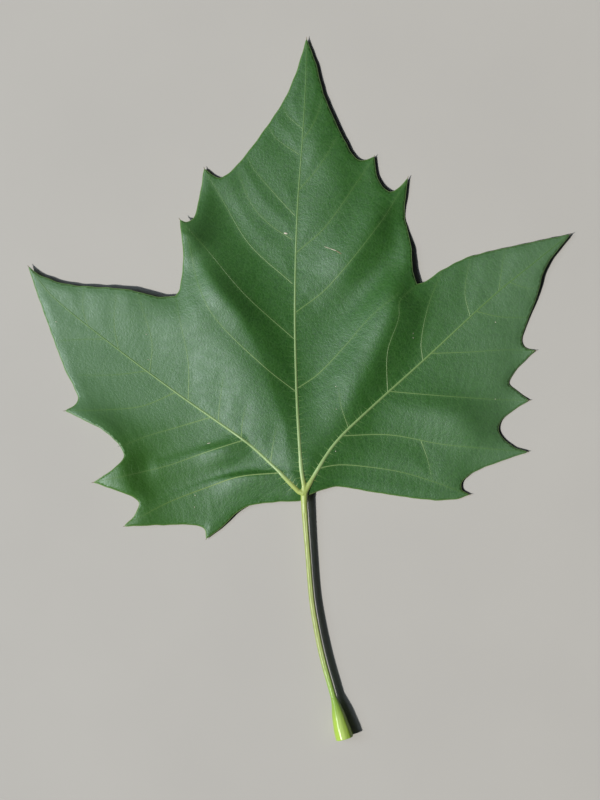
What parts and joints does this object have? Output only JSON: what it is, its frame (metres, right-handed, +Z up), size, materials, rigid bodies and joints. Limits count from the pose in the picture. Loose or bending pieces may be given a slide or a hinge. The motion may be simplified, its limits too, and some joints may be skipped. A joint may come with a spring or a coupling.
{
  "type": "fallen london plane leaf",
  "caption": "Fallen lobed leaf of a london plane, lying face up, with three toothed lobes, raised main veins and a long stalk with a swollen, hollow foot.",
  "frame": {"origin": "on the ground, under the middle of the leaf's bounding box", "axes": "+Y along the midrib towards the centre lobe's tip, +X across the blade to the right lobe, +Z up from the ground"},
  "size_m": [0.1798, 0.233, 0.0069],
  "materials": {
    "leaf_blade": "satin green leaf surface",
    "main_vein": "smooth pale yellow-green",
    "stalk": "smooth olive green, finely grooved",
    "stalk_foot": "glossy lime green"
  },
  "bodies": {
    "root": {"centre_lobe": "leaf_blade", "left_lobe": "leaf_blade", "right_lobe": "leaf_blade", "midrib": "main_vein", "left_main_vein": "main_vein", "right_main_vein": "main_vein", "stalk": "stalk", "stalk_foot": "stalk_foot"}
  },
  "joints": []
}
